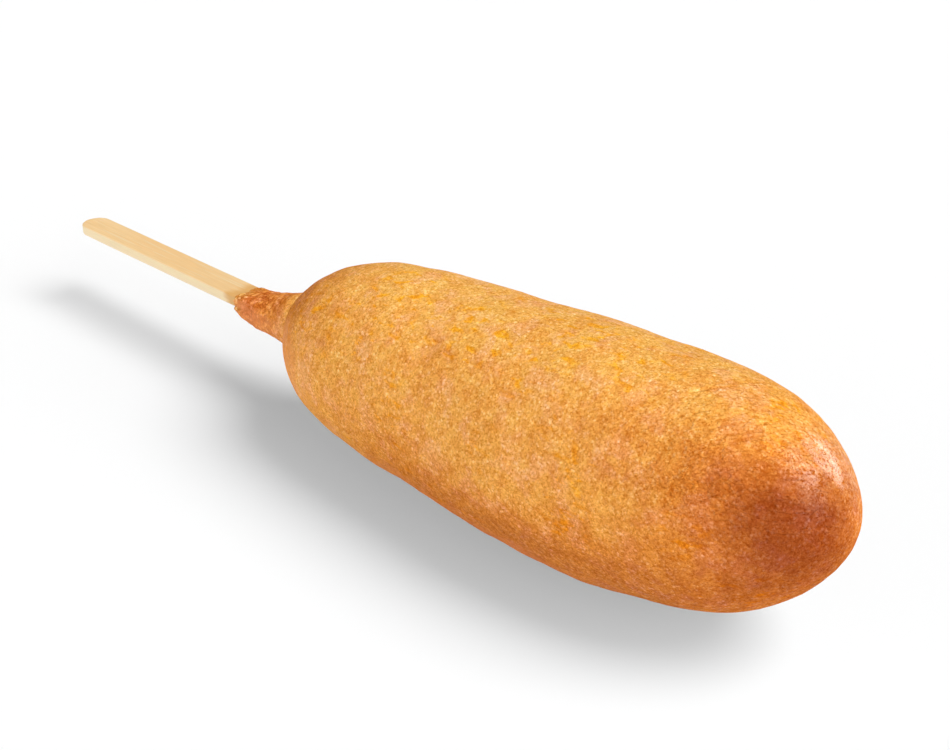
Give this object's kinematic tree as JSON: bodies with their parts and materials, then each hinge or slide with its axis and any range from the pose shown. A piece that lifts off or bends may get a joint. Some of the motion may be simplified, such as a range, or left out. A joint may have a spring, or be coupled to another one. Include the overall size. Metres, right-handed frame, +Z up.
{
  "type": "corn dog",
  "caption": "Fried corn-batter dog on a flat wooden stick, lying on its side: plump rounded body, thin neck of batter and bare stick.",
  "frame": {"origin": "on the surface it rests on, under the middle of the whole box", "axes": "+X from the stick's bare end to the body's round tip, +Z up, +Y across"},
  "size_m": [0.1958, 0.0412, 0.0415],
  "materials": {
    "fried_batter": "golden brown fried corn batter, fine sandy grain, faint oily sheen",
    "stick_wood": "plain pale hardwood, sanded, fine straight grain"
  },
  "bodies": {
    "root": {"batter": "fried_batter", "stick": "stick_wood"}
  },
  "joints": []
}
